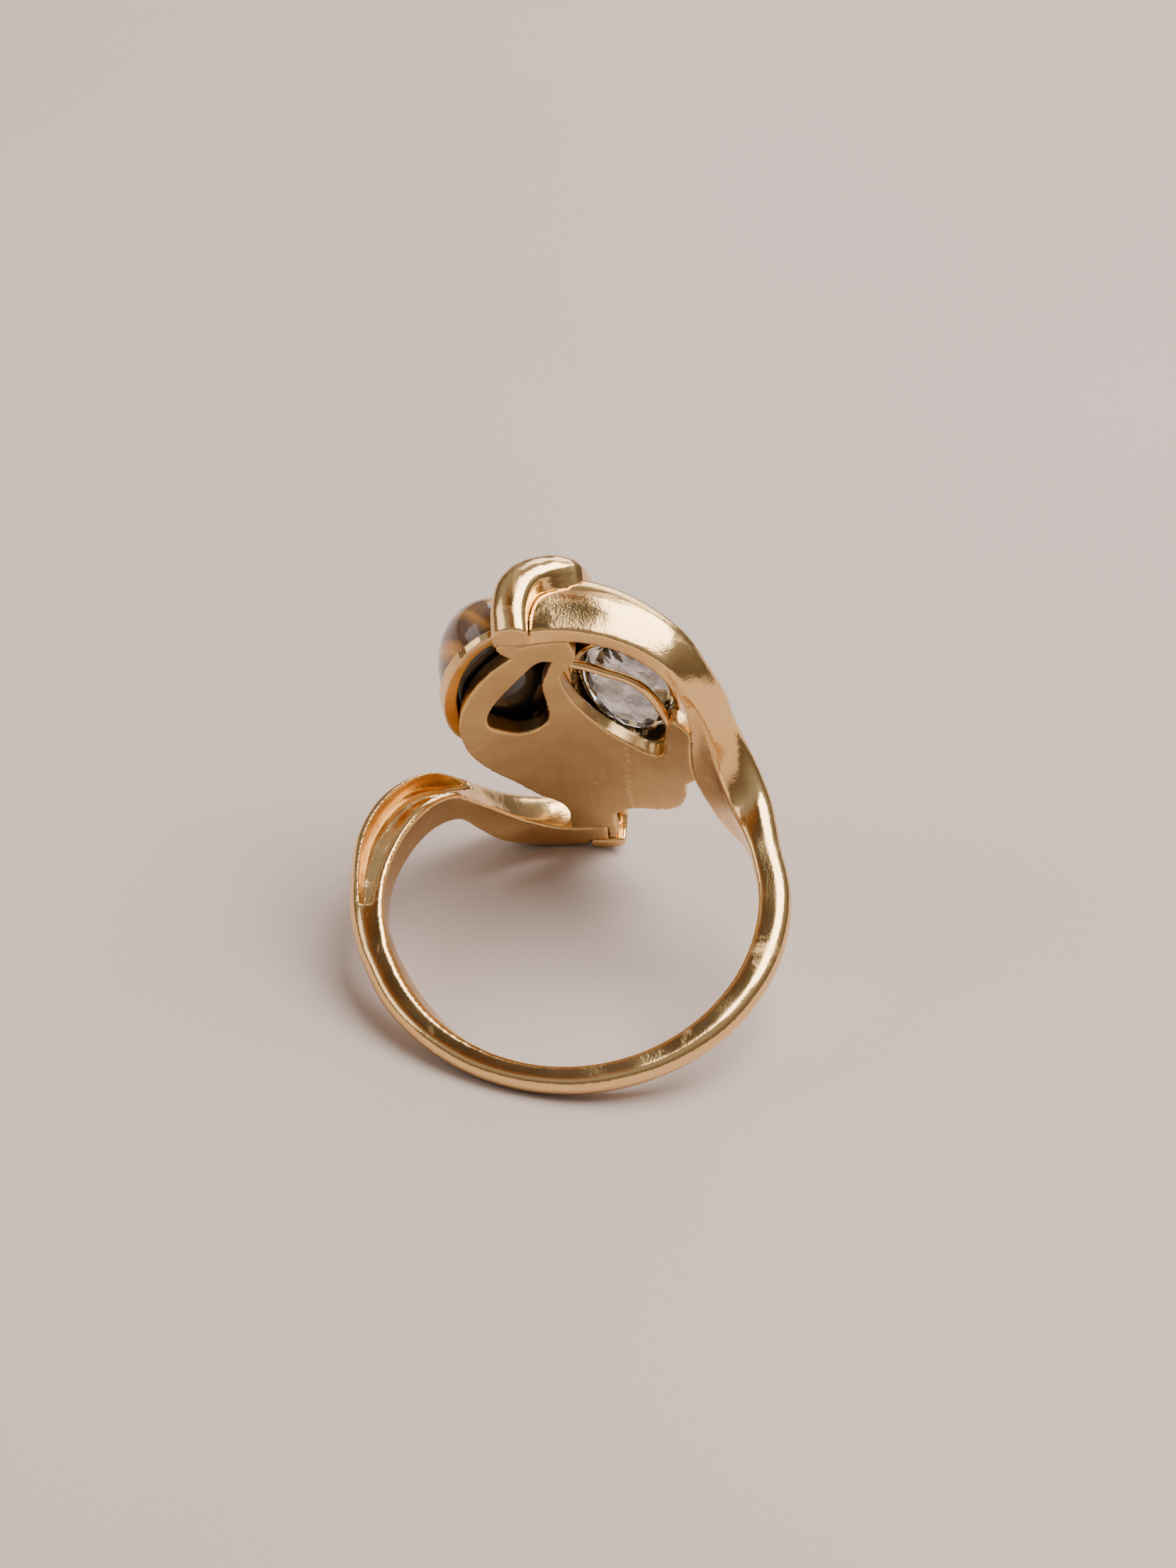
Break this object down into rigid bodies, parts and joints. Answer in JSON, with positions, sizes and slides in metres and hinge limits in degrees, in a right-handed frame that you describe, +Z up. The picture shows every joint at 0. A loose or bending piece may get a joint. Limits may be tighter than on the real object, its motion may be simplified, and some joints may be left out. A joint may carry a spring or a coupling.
{
  "type": "cocktail ring",
  "caption": "Gold bypass cocktail ring with a tiger's eye cabochon, a clear faceted stone and a ribbon between them on a pierced gallery.",
  "frame": {"origin": "centre of the bounding box at the surface the ring lies on", "axes": "+Z up from that surface, -Y towards the viewer who looks through the finger hole from its near side, +X to that viewer's right"},
  "size_m": [0.0204, 0.0232, 0.0192],
  "materials": {
    "gold": "polished, with fine wear scratches",
    "tigers_eye": "polished, with a golden band",
    "clear_stone": "clear, faceted and polished"
  },
  "bodies": {
    "root": {"shank": "gold", "near_shoulder_bar": "gold", "far_shoulder_bar": "gold", "ribbon_strap": "gold", "gallery_plate": "gold", "gallery_rib": "gold", "tigers_eye_bezel": "gold", "tigers_eye_cabochon": "tigers_eye", "clear_stone_collet": "gold", "clear_stone": "clear_stone"}
  },
  "joints": []
}
